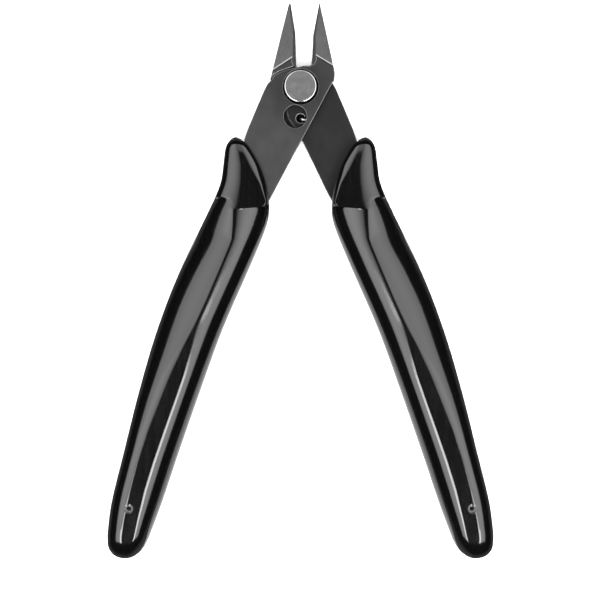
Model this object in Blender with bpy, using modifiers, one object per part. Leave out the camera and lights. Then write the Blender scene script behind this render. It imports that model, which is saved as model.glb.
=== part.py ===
"""Hand shear cutter for electronics work, lying on its back, jaws open.

Metres, +Z up.  X runs across the handles, +Y points out past the jaw tips
and +Z is the front face of the tool.  Lengths below are in millimetres from
the pivot axis and are scaled by MM when a mesh is made.  The front blade half
is the left handle with the right jaw; the rear blade half is the right handle
with the left jaw.  They cross at the pivot, one on top of the other.
"""
import bpy
import bmesh
import math
import numpy as np
from mathutils import Matrix

MM = 0.001

# overall layout
TIP_Y = 18.4            # jaw tips above the pivot
END_Y = -103.7          # grip ends below the pivot
PIVOT = (0.0, -(TIP_Y + END_Y) / 2.0)

# steel: two stamped halves, half lapped at the pivot
BACK_Z = 2.5            # flush back face of the head
FRONT_Z = 7.5           # front face of the head
LAP_Z = 5.0             # plane where the halves slide on each other
LAP_GAP = 0.03          # each half stays this far from that plane

# jaws
SHEAR_OFFSET = 0.75     # closed cutting line, to the right of the pivot
RIGHT_OPEN = 10.2       # degrees each jaw has swung away from that line
LEFT_OPEN = 8.95
EDGE_FOOT_Y = 11.5      # the cutting edges end here, relieved below
GRIND_DEG = 21.0        # slope of the ground front faces
GRIND_STEP = 0.28       # ledge at the foot of the ground face
EDGE_LEAN = 0.17        # inner bevel, sideways run for each unit of height

# pivot rivet
HEAD_R = 3.65
HEAD_TOP_Z = 7.72
HEAD_SEAT_Z = 6.65
SHANK_R = 2.2
TAIL_R = 3.1
TAIL_Z = 3.30
PLAY = 0.3              # clearance round the rivet's head and tail
BORE_PLAY = 0.1         # running clearance of the shank in its bores

# sight hole in the front half, spring hole in the rear half
SIGHT = (-1.0, -6.62)
SIGHT_R = 2.65
HOOK = (0.0, -7.08)
HOOK_R = 0.95

# return spring
WIRE_R = 0.40
COIL_R = 3.15
COIL_Z = 4.42
GROOVE_Z = 3.87
COIL_END_DEG = 250.0

# grips
GRIP_H = 10.0
GRIP_CORNER = 3.6
EYE = (37.7, -92.7)
EYE_R = 0.6

SIDES = 48


# ---------------------------------------------------------------- materials
def material(name, colour, roughness, metallic):
    mat = bpy.data.materials.new(name)
    mat.use_nodes = True
    shader = mat.node_tree.nodes["Principled BSDF"]
    shader.inputs["Base Color"].default_value = (*colour, 1.0)
    shader.inputs["Roughness"].default_value = roughness
    shader.inputs["Metallic"].default_value = metallic
    return mat


# ------------------------------------------------------------------- shapes
def smooth(points, steps=4):
    """Rounded open line through the points (Catmull-Rom)."""
    pts = [np.array(p, dtype=float) for p in points]
    pts = [2 * pts[0] - pts[1]] + pts + [2 * pts[-1] - pts[-2]]
    out = []
    for i in range(1, len(pts) - 2):
        a, b, c, d = pts[i - 1], pts[i], pts[i + 1], pts[i + 2]
        for s in range(steps):
            t = s / steps
            out.append(tuple(0.5 * (2 * b + (c - a) * t
                                    + (2 * a - 5 * b + 4 * c - d) * t * t
                                    + (3 * b - a - 3 * c + d) * t ** 3)))
    out.append(tuple(pts[-2]))
    return out


def turned(point, degrees):
    c = math.cos(math.radians(degrees))
    s = math.sin(math.radians(degrees))
    return (point[0] * c - point[1] * s, point[0] * s + point[1] * c)


def mirrored(points):
    return [(-x, y) for x, y in points]


def add_object(name, data, where):
    """Link an object whose own origin lies on the pivot axis."""
    obj = bpy.data.objects.new(name, data)
    obj.location = (PIVOT[0] * MM, PIVOT[1] * MM, 0.0)
    where.objects.link(obj)
    return obj


def mesh_from(name, bm, where):
    """Object from a bmesh drawn in millimetres about the pivot axis."""
    bmesh.ops.recalc_face_normals(bm, faces=bm.faces[:])
    bmesh.ops.scale(bm, vec=(MM, MM, MM), verts=bm.verts[:])
    mesh = bpy.data.meshes.new(name)
    bm.to_mesh(mesh)
    bm.free()
    return add_object(name, mesh, where)


def plate(name, outline, z0, z1, where):
    """Flat outline between two heights: a filled 2D curve, made a mesh."""
    curve = bpy.data.curves.new(name, 'CURVE')
    curve.dimensions = '2D'
    curve.fill_mode = 'BOTH'
    curve.extrude = (z1 - z0) / 2.0 * MM
    edge = curve.splines.new('POLY')
    edge.points.add(len(outline) - 1)
    edge.use_cyclic_u = True
    for point, (x, y) in zip(edge.points, outline):
        point.co = (x * MM, y * MM, 0.0, 1.0)
    drawn = bpy.data.objects.new(name + "_outline", curve)
    mesh = bpy.data.meshes.new_from_object(drawn)
    bpy.data.objects.remove(drawn)
    bm = bmesh.new()
    bm.from_mesh(mesh)
    bmesh.ops.remove_doubles(bm, verts=bm.verts[:], dist=0.000002)
    bmesh.ops.dissolve_limit(bm, angle_limit=0.002, verts=bm.verts[:], edges=bm.edges[:])
    bmesh.ops.translate(bm, vec=(0.0, 0.0, (z0 + z1) / 2.0 * MM), verts=bm.verts[:])
    bmesh.ops.recalc_face_normals(bm, faces=bm.faces[:])
    bm.to_mesh(mesh)
    bm.free()
    mesh.name = name
    return add_object(name, mesh, where)


def drum(name, centre, radius, z0, z1, where, sides=SIDES):
    """Upright cylinder between two heights."""
    bm = bmesh.new()
    bmesh.ops.create_cone(bm, cap_ends=True, segments=sides, radius1=radius,
                          radius2=radius, depth=z1 - z0)
    bmesh.ops.translate(bm, vec=(centre[0], centre[1], (z0 + z1) / 2.0), verts=bm.verts[:])
    return mesh_from(name, bm, where)


def turned_body(name, profile, where, sides=SIDES):
    """Profile of radius and height, from top to bottom, swept by a Screw."""
    bm = bmesh.new()
    verts = [bm.verts.new((r * MM, 0.0, z * MM)) for r, z in profile]
    for a, b in zip(verts[:-1], verts[1:]):
        bm.edges.new((a, b))
    mesh = bpy.data.meshes.new(name)
    bm.to_mesh(mesh)
    bm.free()
    obj = add_object(name, mesh, where)
    mod = obj.modifiers.new("turn", 'SCREW')
    mod.steps = sides
    mod.render_steps = sides
    mod.use_merge_vertices = True
    mod.merge_threshold = 0.000002
    mod.use_smooth_shade = False
    return obj


def leaning_block(name, low, high, z0, z1, where):
    """Loft between two unlike outlines with the same number of corners."""
    bm = bmesh.new()
    floor = [bm.verts.new((x, y, z0)) for x, y in low]
    roof = [bm.verts.new((x, y, z1)) for x, y in high]
    bm.faces.new(floor)
    bm.faces.new(roof)
    for i in range(len(floor)):
        j = (i + 1) % len(floor)
        bm.faces.new((floor[i], floor[j], roof[i]))
        bm.faces.new((floor[j], roof[j], roof[i]))
    return mesh_from(name, bm, where)


def cut(target, tool):
    tool.hide_render = True
    tool.display_type = 'WIRE'
    mod = target.modifiers.new("cut_" + tool.name, 'BOOLEAN')
    mod.operation = 'DIFFERENCE'
    mod.solver = 'EXACT'
    mod.object = tool


# ---------------------------------------------------------------- outlines
def handle_outer():
    """Outer edge of the left handle, from the head down into the grip."""
    return smooth([(-6.4, 1.3), (-7.45, 0.1), (-8.95, -3.2), (-10.8, -7.6),
                   (-12.1, -11.0), (-13.5, -16.5), (-16.0, -25.0), (-21.4, -37.0),
                   (-28.2, -53.5), (-35.5, -80.0)], 3)


def handle_inner():
    """Inner edge of the left handle, from inside the grip up to the head."""
    tang = smooth([(-31.8, -85.6), (-29.2, -80.0), (-20.0, -53.5), (-12.7, -37.0),
                   (-8.7, -28.8), (-5.6, -22.9)], 3)
    return tang + [(7.05, 0.8)]


TANG_END = [(-36.6, -84.6), (-36.7, -86.0), (-33.0, -86.9), (-32.1, -86.4)]

# shoulder of the front half beside the left jaw, outside to inside
SHOULDER = [(-6.4, 1.3), (-5.7, 2.4), (-4.45, 3.1), (-2.95, 3.62), (-0.5, 4.15)]


def cutting_edge(sign, degrees):
    """Foot and tip of one cutting edge with the jaws open."""
    foot = turned((SHEAR_OFFSET, EDGE_FOOT_Y), sign * degrees)
    tip = turned((SHEAR_OFFSET, TIP_Y + 5.0), sign * degrees)
    return foot, tip


def gap_tool(name, wall, rest, where):
    """Cutter that clears the jaw gap and leaves the inner bevel.

    Each wall corner carries the direction in which it leans as it rises.
    """
    z0, z1 = BACK_Z - 0.5, FRONT_Z + 1.0
    down = EDGE_LEAN * (z0 - BACK_Z)
    up = EDGE_LEAN * (z1 - BACK_Z)
    low = [(x + dx * down, y + dy * down) for (x, y), (dx, dy) in wall] + rest
    high = [(x + dx * up, y + dy * up) for (x, y), (dx, dy) in wall] + rest
    return leaning_block(name, low, high, z0, z1, where)


def grind_tool(name, foot_a, foot_b, where):
    """Tilted block that grinds a jaw's front face down towards its tip."""
    run = (foot_b[0] - foot_a[0], foot_b[1] - foot_a[1])
    size = 40.0
    bm = bmesh.new()
    bmesh.ops.create_cube(bm, size=size)
    bmesh.ops.translate(bm, vec=(0.0, size / 2.0, size / 2.0), verts=bm.verts[:])
    tilt = Matrix.Rotation(-math.radians(GRIND_DEG), 4, 'X')
    turn = Matrix.Rotation(math.atan2(run[1], run[0]), 4, 'Z')
    bmesh.ops.transform(bm, matrix=turn @ tilt, verts=bm.verts[:])
    middle = ((foot_a[0] + foot_b[0]) / 2.0, (foot_a[1] + foot_b[1]) / 2.0)
    bmesh.ops.translate(bm, vec=(middle[0], middle[1], FRONT_Z - GRIND_STEP),
                        verts=bm.verts[:])
    return mesh_from(name, bm, where)


# ------------------------------------------------------------- blade halves
def front_blade_half(where, tools, mat):
    """Left handle and right jaw."""
    head = [(7.35, 1.0), (7.5, 1.7), (7.57, 2.6), (7.5, 3.4), (7.26, 4.3)]
    jaw = [(4.47, 17.4), (4.3, 18.25), (4.15, TIP_Y), (3.6, TIP_Y), (-1.0, TIP_Y),
           (-4.0, 9.0), (-6.6, 4.0)]
    outline = handle_outer() + TANG_END + handle_inner() + head + jaw
    half = plate("front_blade_half", outline, BACK_Z, FRONT_Z, where)
    half.data.materials.append(mat)

    foot, tip = cutting_edge(-1, RIGHT_OPEN)
    wall = [((-0.5, 4.15), (0, 0)), ((0.45, 4.38), (0, 0)), ((1.7, 4.60), (0.4, -0.3)),
            ((2.25, 4.92), (0.7, -0.3)), ((2.48, 5.5), (0.9, -0.2)), ((2.54, 6.1), (1, 0)),
            (foot, (1, -0.1)), (tip, (1, -0.18))]
    rest = [(-14.0, tip[1]), (-14.0, 3.4), (-7.6, 1.3)] + SHOULDER[:-1]
    cut(half, gap_tool("front_gap", wall, rest, tools))
    cut(half, grind_tool("front_grind", (3.07, 6.9), (7.25, 4.4), tools))

    block = [(-1.0, 5.9), (2.0, 5.9), (2.4, 5.0), (3.1, 4.1), (4.6, 3.3), (5.85, 2.55),
             (6.6, 1.4), (6.9, 0.9), (9.0, 0.7), (9.0, -14.0), (0.0, -30.0),
             (-20.0, -95.0), (-45.0, -95.0), (-20.0, -5.0), (-10.0, 5.9)]
    cut(half, plate("front_lap", block, BACK_Z - 1.0, LAP_Z + LAP_GAP, tools))
    cut(half, drum("front_recess", (0, 0), HEAD_R + PLAY, HEAD_SEAT_Z - 0.06,
                   FRONT_Z + 1.0, tools))
    cut(half, drum("front_bore", (0, 0), SHANK_R + BORE_PLAY, BACK_Z, FRONT_Z, tools))
    cut(half, drum("front_sight", SIGHT, SIGHT_R, BACK_Z, FRONT_Z + 1.0, tools))
    end = turned((COIL_R, 0.0), COIL_END_DEG)
    cut(half, drum("front_spring_hole", end, WIRE_R + 0.25, LAP_Z - 1.0, 6.15, tools, 20))
    return half


def rear_blade_half(where, tools, mat):
    """Right handle and left jaw."""
    outer = [(x, y) for x, y in mirrored(handle_outer())][1:]
    bulge = smooth([(0.45, -12.2), (-2.3, -9.4), (-4.4, -6.6), (-5.6, -3.0), (-6.6, 0.75)], 3)
    inner = mirrored(handle_inner()[:-1]) + bulge
    head = [(-6.62, 1.5), (-6.4, 2.4), (-6.2, 3.3)]
    jaw = [(-2.75, 17.4), (-2.6, 18.0), (-2.4, 18.25), (-2.0, 18.25), (2.0, 18.25),
           (7.0, 8.0), (9.0, 3.0), (6.5, 1.2)]
    outline = outer + mirrored(TANG_END) + inner + head + jaw
    half = plate("rear_blade_half", outline, BACK_Z, FRONT_Z, where)
    half.data.materials.append(mat)

    foot, tip = cutting_edge(1, LEFT_OPEN)
    wall = [(tip, (-1, -0.15)), (foot, (-1, -0.1)), ((-0.95, 5.3), (-1, 0)),
            ((-0.9, 4.62), (-0.7, -0.1)), ((-0.6, 4.2), (-0.2, 0)), ((0.3, 4.1), (0, 0))]
    rest = mirrored(SHOULDER)[::-1] + [(7.4, 1.1), (15.0, 3.0), (15.0, tip[1])]
    cut(half, gap_tool("rear_gap", wall, rest, tools))
    cut(half, grind_tool("rear_grind", (-6.03, 3.5), (-1.64, 6.35), tools))

    lap = [(-9.0, 1.1), (-6.75, 1.25), (-5.85, 2.55), (-4.55, 3.25), (-3.0, 3.8),
           (-1.6, 4.25), (-0.98, 4.62), (0.0, 4.62), (10.0, 4.62), (20.0, -5.0),
           (45.0, -95.0), (20.0, -95.0), (0.0, -30.0), (-9.0, -14.0)]
    cut(half, plate("rear_lap", lap, LAP_Z - LAP_GAP, FRONT_Z + 1.0, tools))
    cut(half, drum("rear_recess", (0, 0), TAIL_R + PLAY, BACK_Z - 1.0, TAIL_Z + 0.06, tools))
    cut(half, drum("rear_bore", (0, 0), SHANK_R + BORE_PLAY, BACK_Z, FRONT_Z, tools))
    cut(half, drum("rear_groove", (0, 0), COIL_R + WIRE_R + 0.25, GROOVE_Z, LAP_Z + 0.5,
                   tools))
    slot = [(3.87, -0.9), (3.65, -3.2), (3.25, -5.1), (2.7, -6.8), (1.85, -7.9), (0.8, -8.1),
            (-0.1, -7.6), (0.3, -6.7), (0.95, -6.75), (1.5, -6.15), (1.9, -4.9), (2.25, -3.1),
            (2.42, -0.9)]
    cut(half, plate("rear_leg_slot", slot, GROOVE_Z, LAP_Z + 0.5, tools))
    sunk = [(0.0, LAP_Z + 0.4), (HOOK_R + 0.8, LAP_Z + 0.4), (HOOK_R, LAP_Z - 0.4),
            (HOOK_R, BACK_Z - 1.0), (0.0, BACK_Z - 1.0)]
    hole = turned_body("rear_hook_hole", sunk, tools, 28)
    hole.location = ((PIVOT[0] + HOOK[0]) * MM, (PIVOT[1] + HOOK[1]) * MM, 0.0)
    cut(half, hole)
    ledge = smooth([(-3.1, -4.7), (-2.9, -6.2), (-2.2, -7.8), (-0.9, -9.4)], 4)
    cut(half, plate("rear_ledge", ledge + [(-3.0, -11.0), (-7.5, -4.3)], GROOVE_Z - 0.35,
                   LAP_Z + 0.5, tools))
    return half


# ------------------------------------------------------------ rivet, spring
def pivot_rivet(where, mat):
    """One headed pin: front head, shank, and the closed tail at the back."""
    profile = [(0.0, HEAD_TOP_Z), (HEAD_R - 0.38, HEAD_TOP_Z),
               (HEAD_R - 0.12, HEAD_TOP_Z - 0.1), (HEAD_R, HEAD_TOP_Z - 0.32),
               (HEAD_R, HEAD_SEAT_Z), (SHANK_R, HEAD_SEAT_Z), (SHANK_R, TAIL_Z),
               (TAIL_R, TAIL_Z), (TAIL_R, BACK_Z + 0.25), (TAIL_R - 0.25, BACK_Z),
               (0.0, BACK_Z)]
    rivet = turned_body("pivot_rivet", profile, where)
    rivet.data.materials.append(mat)
    return rivet


def leg_path():
    """Plan of the spring leg from the coil to the hook hole."""
    return smooth([(COIL_R, 0.0), (3.12, -1.5), (2.95, -3.2), (2.6, -5.0), (2.1, -6.45),
                   (1.4, -7.35), (0.6, -7.35)], 4)


def return_spring(where, mat):
    """Open coil round the rivet; one end up in the front half, one end down."""
    bend = 0.55
    step = math.degrees(bend / COIL_R)
    path = []
    up = turned((COIL_R, 0.0), COIL_END_DEG)
    path.append((up[0], up[1], 5.9))
    path.append((up[0], up[1], COIL_Z + bend))
    for t in (30.0, 60.0, 90.0):
        back = step * (1.0 - math.cos(math.radians(t)))
        lift = bend * (1.0 - math.sin(math.radians(t)))
        at = turned((COIL_R, 0.0), COIL_END_DEG - back)
        path.append((at[0], at[1], COIL_Z + lift))
    for degrees in np.arange(COIL_END_DEG - 2.2 * step, 5.0, -12.0):
        at = turned((COIL_R, 0.0), degrees)
        path.append((at[0], at[1], COIL_Z))
    for x, y in leg_path():
        path.append((x, y, COIL_Z))
    start = np.array(leg_path()[-1])
    run = np.array(HOOK) - start
    run /= np.linalg.norm(run)
    for t in (30.0, 60.0, 90.0):
        at = start + run * bend * math.sin(math.radians(t))
        path.append((at[0], at[1], COIL_Z - bend * (1.0 - math.cos(math.radians(t)))))
    last = path[-1]
    path.append((last[0], last[1], 2.95))

    curve = bpy.data.curves.new("return_spring", 'CURVE')
    curve.dimensions = '3D'
    curve.bevel_depth = WIRE_R * MM
    curve.bevel_resolution = 2
    curve.use_fill_caps = True
    line = curve.splines.new('POLY')
    line.points.add(len(path) - 1)
    for point, (x, y, z) in zip(line.points, path):
        point.co = (x * MM, y * MM, z * MM, 1.0)
    curve.materials.append(mat)
    return add_object("return_spring", curve, where)


# ------------------------------------------------------------------- grips
def grip_edges():
    """Outer and inner edge of the left grip as X against Y."""
    outer = smooth([(-14.6, -11.2), (-16.4, -13.4), (-16.9, -17.0), (-17.6, -21.5),
                    (-20.1, -27.3), (-26.5, -40.5), (-31.5, -53.6), (-35.4, -66.8),
                    (-38.7, -80.0), (-41.4, -91.0), (-42.4, -98.5), (-41.9, -101.8),
                    (-38.9, END_Y)], 6)
    inner = smooth([(-14.0, -11.2), (-11.3, -13.4), (-9.0, -17.4), (-7.6, -21.3),
                    (-6.9, -25.4), (-7.1, -29.5), (-8.6, -33.9), (-11.4, -40.5),
                    (-17.1, -53.6), (-21.9, -66.8), (-26.5, -80.0), (-30.2, -91.0),
                    (-33.0, -98.5), (-35.0, -101.8), (-38.1, END_Y)], 6)
    return np.array(outer), np.array(inner)


def grip_section(x_out, x_in, height, corner_steps=4):
    """Rounded flat section across one station, as X and Z pairs."""
    mid = (x_out + x_in) / 2.0
    half = abs(x_in - x_out) / 2.0
    tall = height / 2.0
    corner = min(GRIP_CORNER, half * 0.92, tall * 0.92)
    ring = []
    for quarter in range(4):
        sx = 1 if quarter in (0, 3) else -1
        sz = 1 if quarter in (0, 1) else -1
        for step in range(corner_steps + 1):
            a = math.radians(90.0 * (quarter + step / corner_steps))
            ring.append((mid + sx * (half - corner) + corner * math.cos(a),
                         GRIP_H / 2.0 + sz * (tall - corner) + corner * math.sin(a)))
    return ring


def grip(name, side, pocket_z, where, tools, mat):
    """Moulded sleeve over one handle: side -1 is the left one."""
    outer, inner = grip_edges()
    stations = [-11.2, -11.7, -12.6, -14.0, -16.0, -18.5, -21.3, -24.0, -26.5, -29.5,
                -33.5, -38.0, -44.0, -51.0, -58.0, -66.0, -74.0, -82.0, -89.0, -94.5,
                -98.5, -100.8, -102.2, -103.2, END_Y]
    bm = bmesh.new()
    rings = []
    for y in stations:
        x_out = float(np.interp(-y, -outer[:, 1], outer[:, 0]))
        x_in = float(np.interp(-y, -inner[:, 1], inner[:, 0]))
        sink = max(0.0, (-98.0 - y) / (-98.0 - END_Y), (y + 13.2) / 2.6)
        height = GRIP_H * (1.0 - 0.62 * sink ** 3)
        rings.append([bm.verts.new((-side * x, y, z))
                      for x, z in grip_section(x_out, x_in, height)])
    for low, high in zip(rings[:-1], rings[1:]):
        for i in range(len(low)):
            j = (i + 1) % len(low)
            bm.faces.new((low[i], low[j], high[j], high[i]))
    bm.faces.new(rings[0])
    bm.faces.new(rings[-1])
    sleeve = mesh_from(name, bm, where)
    sleeve.data.materials.append(mat)

    shell = smooth([(-11.6, -8.5), (-12.4, -11.0), (-13.8, -16.5), (-16.3, -25.0),
                    (-21.75, -37.0), (-28.55, -53.5), (-35.9, -80.0), (-37.1, -85.0),
                    (-37.0, -87.3)], 3)
    back = [(-32.0, -87.4), (-31.4, -85.6), (-28.8, -80.0), (-19.6, -53.5), (-12.3, -37.0),
            (-9.0, -30.0), (-6.8, -26.3), (-5.0, -26.3), (-5.0, -8.5)]
    pocket = [(-side * x, y) for x, y in shell + back]
    cut(sleeve, plate(name + "_pocket", pocket, pocket_z[0], pocket_z[1], tools))
    eye = (side * EYE[0], EYE[1])
    cut(sleeve, drum(name + "_eye", eye, EYE_R, -1.0, GRIP_H + 1.0, tools, 24))
    return sleeve


# ------------------------------------------------------------------ assembly
def build():
    for obj in list(bpy.data.objects):
        bpy.data.objects.remove(obj)
    parts = bpy.data.collections.new("flush_cutter")
    tools = bpy.data.collections.new("cutters")
    for group in (parts, tools):
        bpy.context.scene.collection.children.link(group)
    tools.hide_render = True

    steel_front = material("front_half_steel", (0.10, 0.10, 0.10), 0.42, 1.0)
    steel_rear = material("rear_half_steel", (0.085, 0.085, 0.085), 0.42, 1.0)
    rivet_steel = material("rivet_steel", (0.36, 0.36, 0.36), 0.35, 1.0)
    wire = material("spring_wire", (0.45, 0.45, 0.45), 0.30, 1.0)
    left_vinyl = material("left_grip_vinyl", (0.008, 0.008, 0.008), 0.22, 0.0)
    right_vinyl = material("right_grip_vinyl", (0.009, 0.009, 0.009), 0.22, 0.0)

    front = front_blade_half(parts, tools, steel_front)
    rear = rear_blade_half(parts, tools, steel_rear)
    rivet = pivot_rivet(parts, rivet_steel)
    spring = return_spring(parts, wire)
    front_pocket = (LAP_Z - 0.27, FRONT_Z + 0.3)
    rear_pocket = (BACK_Z - 0.3, LAP_Z + 0.27)
    left = grip("left_grip", -1, front_pocket, parts, tools, left_vinyl)
    right = grip("right_grip", 1, rear_pocket, parts, tools, right_vinyl)

    for child, parent in ((left, front), (rivet, front), (spring, front), (right, rear)):
        child.parent = parent
        child.location = (0.0, 0.0, 0.0)
    for cutter in tools.objects:
        cutter.hide_viewport = False


build()
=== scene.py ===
"""Flush cutter lying on its back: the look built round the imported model.

Lengths are drawn in millimetres about the pivot axis, with the front face
towards +Z and the jaw tips towards +Y, and turned into the row frame's metres
when a piece is made.
"""

import math

import bmesh
import bpy
import numpy as np
from mathutils import Matrix, Vector


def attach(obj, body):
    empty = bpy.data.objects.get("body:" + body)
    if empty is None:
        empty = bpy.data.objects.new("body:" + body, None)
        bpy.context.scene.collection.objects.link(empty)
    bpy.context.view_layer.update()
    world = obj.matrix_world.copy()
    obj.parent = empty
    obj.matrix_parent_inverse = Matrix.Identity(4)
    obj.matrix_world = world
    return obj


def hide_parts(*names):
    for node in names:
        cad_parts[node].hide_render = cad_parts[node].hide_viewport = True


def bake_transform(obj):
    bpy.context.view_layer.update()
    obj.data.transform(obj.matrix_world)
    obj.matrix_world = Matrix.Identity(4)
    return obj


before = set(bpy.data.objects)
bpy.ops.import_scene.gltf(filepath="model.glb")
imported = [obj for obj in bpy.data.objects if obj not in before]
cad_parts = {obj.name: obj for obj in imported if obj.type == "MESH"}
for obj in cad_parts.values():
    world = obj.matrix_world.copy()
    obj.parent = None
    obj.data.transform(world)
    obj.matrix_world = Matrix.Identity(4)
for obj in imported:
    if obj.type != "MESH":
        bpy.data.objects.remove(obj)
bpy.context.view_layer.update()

MM = 0.001
LEFT, RIGHT = "left_handle_half", "right_handle_half"

# layout, the same as the CAD part's apart from small shifts of the sight hole and of
# the recess round the rivet's head, and the floor of the hook hole
TIP_Y = 18.4
END_Y = -103.7
PIVOT = (0.0, -(TIP_Y + END_Y) / 2.0)
BACK_Z, LAP_Z, FRONT_Z = 2.5, 5.0, 7.5      # back of the steel, where it laps, its front
LAP_GAP = 0.03
# cutting edges: offset from the pivot, how far each stands open, lowest point, lean
SHEAR_OFFSET, RIGHT_OPEN, LEFT_OPEN, EDGE_FOOT_Y, EDGE_LEAN = 0.75, 10.2, 8.95, 11.5, 0.17
HEAD_R, HEAD_TOP_Z, HEAD_SEAT_Z = 3.65, 7.72, 6.65
SHANK_R, TAIL_R, TAIL_Z = 2.2, 3.1, 3.30
PLAY, BORE_PLAY = 0.3, 0.1                  # round the rivet's tail and its shank
SIGHT, SIGHT_R = (-1.15, -6.70), 2.54       # sight hole in the front half
RECESS, RECESS_R = (0.05, -0.18), 3.93      # recess round the rivet's head
HOOK, HOOK_R, HOOK_FLOOR = (0.0, -7.08), 0.95, 0.3      # blind hole for the spring's hook
WIRE_R, COIL_R, COIL_Z, COIL_END_DEG = 0.40, 3.15, 4.42, 250.0
GROOVE_Z, GROOVE_PLAY = 3.87, 0.25          # the spring's groove: floor, room at its sides
EYE, EYE_R = (37.7, -92.7), 0.6             # hole at the end of a grip
OVER = 1.0              # how far a cutter starts outside what it cuts
WELD = 0.002            # points closer than this are one

SIDES = 96              # of a round face or hole
LINE_STEPS = 6          # from point to point of a rounded line


# ---------------------------------------------------------------- materials
class Look:
    """A procedural material: one neutral grey Principled shader and its nodes."""

    def __init__(self, name, grey, roughness, metallic=0.0, ior=1.5):
        self.mat = bpy.data.materials.new(name)
        self.mat.use_nodes = True
        self.tree = self.mat.node_tree
        self.shader = self.tree.nodes["Principled BSDF"]
        self.shader.inputs["Metallic"].default_value = metallic
        self.shader.inputs["IOR"].default_value = ior
        self.colour = (grey, grey, grey)
        self.roughness = roughness
        self.coords = self.node("ShaderNodeTexCoord").outputs["Object"]

    def node(self, kind, **settings):
        made = self.tree.nodes.new(kind)
        for key, value in settings.items():
            setattr(made, key, value)
        return made

    def link(self, source, target):
        self.tree.links.new(source, target)

    def math(self, operation, a, b=0.0, c=0.0):
        """Result of a Math node on numbers or sockets."""
        made = self.node("ShaderNodeMath", operation=operation)
        for socket, value in zip(made.inputs, (a, b, c)):
            if isinstance(value, (int, float)):
                socket.default_value = value
            else:
                self.link(value, socket)
        return made.outputs[0]

    def noise(self, scale, detail=3.0, stretch=(1.0, 1.0, 1.0), turn=0.0):
        """Noise per metre, stretched along axes turned about Z by an angle in radians."""
        mapping = self.node("ShaderNodeMapping")
        mapping.inputs["Rotation"].default_value = (0.0, 0.0, turn)
        mapping.inputs["Scale"].default_value = stretch
        self.link(self.coords, mapping.inputs["Vector"])
        made = self.node("ShaderNodeTexNoise")
        made.inputs["Scale"].default_value = scale
        made.inputs["Detail"].default_value = detail
        self.link(mapping.outputs[0], made.inputs["Vector"])
        return made.outputs["Fac"]

    def remap(self, value, source, target, interpolation='LINEAR'):
        """The value taken from one range to another, and held at its ends."""
        made = self.node("ShaderNodeMapRange", interpolation_type=interpolation)
        for key, number in zip(("From Min", "From Max", "To Min", "To Max"), source + target):
            made.inputs[key].default_value = number
        self.link(value, made.inputs["Value"])
        return made.outputs["Result"]

    def spread(self, value, low, high):
        """A noise value, mostly 0.3 to 0.7, taken to low and high."""
        return self.remap(value, (0.3, 0.7), (low, high))

    def from_pivot(self):
        """Distance from the pivot axis, in metres."""
        offset = self.node("ShaderNodeVectorMath", operation='SUBTRACT')
        offset.inputs[1].default_value = (PIVOT[0] * MM, PIVOT[1] * MM, 0.0)
        self.link(self.coords, offset.inputs[0])
        flat = self.node("ShaderNodeVectorMath", operation='MULTIPLY')
        flat.inputs[1].default_value = (1.0, 1.0, 0.0)
        self.link(offset.outputs[0], flat.inputs[0])
        length = self.node("ShaderNodeVectorMath", operation='LENGTH')
        self.link(flat.outputs[0], length.inputs[0])
        return length.outputs["Value"]

    def set_colour(self, factor):
        """Base colour scaled by a changing factor."""
        mix = self.node("ShaderNodeVectorMath", operation='SCALE')
        mix.inputs[0].default_value = self.colour
        self.link(factor, mix.inputs["Scale"])
        self.link(mix.outputs[0], self.shader.inputs["Base Color"])

    def set_roughness(self, factor):
        """Roughness scaled by a changing factor."""
        self.link(self.math('MULTIPLY', factor, self.roughness),
                  self.shader.inputs["Roughness"])

    def bump(self, height, depth, below=None):
        """Relief of a depth in millimetres, on top of the one below."""
        made = self.node("ShaderNodeBump")
        made.inputs["Strength"].default_value = 1.0
        made.inputs["Distance"].default_value = depth * MM
        self.link(height, made.inputs["Height"])
        if below is not None:
            self.link(below, made.inputs["Normal"])
        self.link(made.outputs[0], self.shader.inputs["Normal"])
        return made.outputs[0]


def blackened_steel(name, grey, roughness, pivot_shade_level=1.0, shade_lift_above_lap=1.0):
    """Satin blackened sheet: fine tooth, faint cloudiness.

    Its tone may darken towards the pivot as painted shade, and the faces well above the lap may
    stand lighter than the lower ones, whose darker tone is painted shade.
    """
    pivot_range = (0.003, 0.012)
    raised_from = 0.0062
    look = Look(name, grey, roughness, metallic=1.0)
    tooth = look.noise(5200.0, 2.0)
    cloud = look.noise(260.0, 3.0)
    grain = look.noise(1500.0, 4.0, stretch=(1.0, 0.22, 1.0), turn=0.5)
    tone = look.math('MULTIPLY', look.spread(cloud, 0.93, 1.07),
                     look.spread(tooth, 0.94, 1.06))
    # painted shade: the colour darkens smoothly towards the pivot
    painted_pivot_shade = look.remap(look.from_pivot(), pivot_range, (pivot_shade_level, 1.0), 'SMOOTHSTEP')
    split = look.node("ShaderNodeSeparateXYZ")
    look.link(look.coords, split.inputs[0])
    # painted shade: faces below this height keep the darker tone, faces above it are lightened
    # by the given factor
    above = look.math('GREATER_THAN', split.outputs["Z"], raised_from)
    level = look.math('MULTIPLY_ADD', above, shade_lift_above_lap - 1.0, 1.0)
    tone = look.math('MULTIPLY', tone, level)
    look.set_colour(look.math('MULTIPLY', tone, painted_pivot_shade))
    look.set_roughness(look.math('MULTIPLY', look.spread(cloud, 0.95, 1.06),
                                 look.spread(grain, 0.92, 1.08)))
    low = look.bump(grain, 0.0012)
    look.bump(tooth, 0.0016, low)
    return look.mat


def ground_steel(name, grey, roughness, turn):
    """Ground face: fine straight scratches along one direction."""
    look = Look(name, grey, roughness, metallic=1.0)
    scratch = look.noise(2400.0, 4.0, stretch=(1.0, 0.035, 1.0), turn=turn)
    cloud = look.noise(420.0, 2.0)
    look.set_colour(look.math('MULTIPLY', look.spread(scratch, 0.90, 1.10),
                              look.spread(cloud, 0.95, 1.05)))
    look.set_roughness(look.spread(scratch, 0.88, 1.12))
    look.bump(scratch, 0.0022)
    return look.mat


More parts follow.
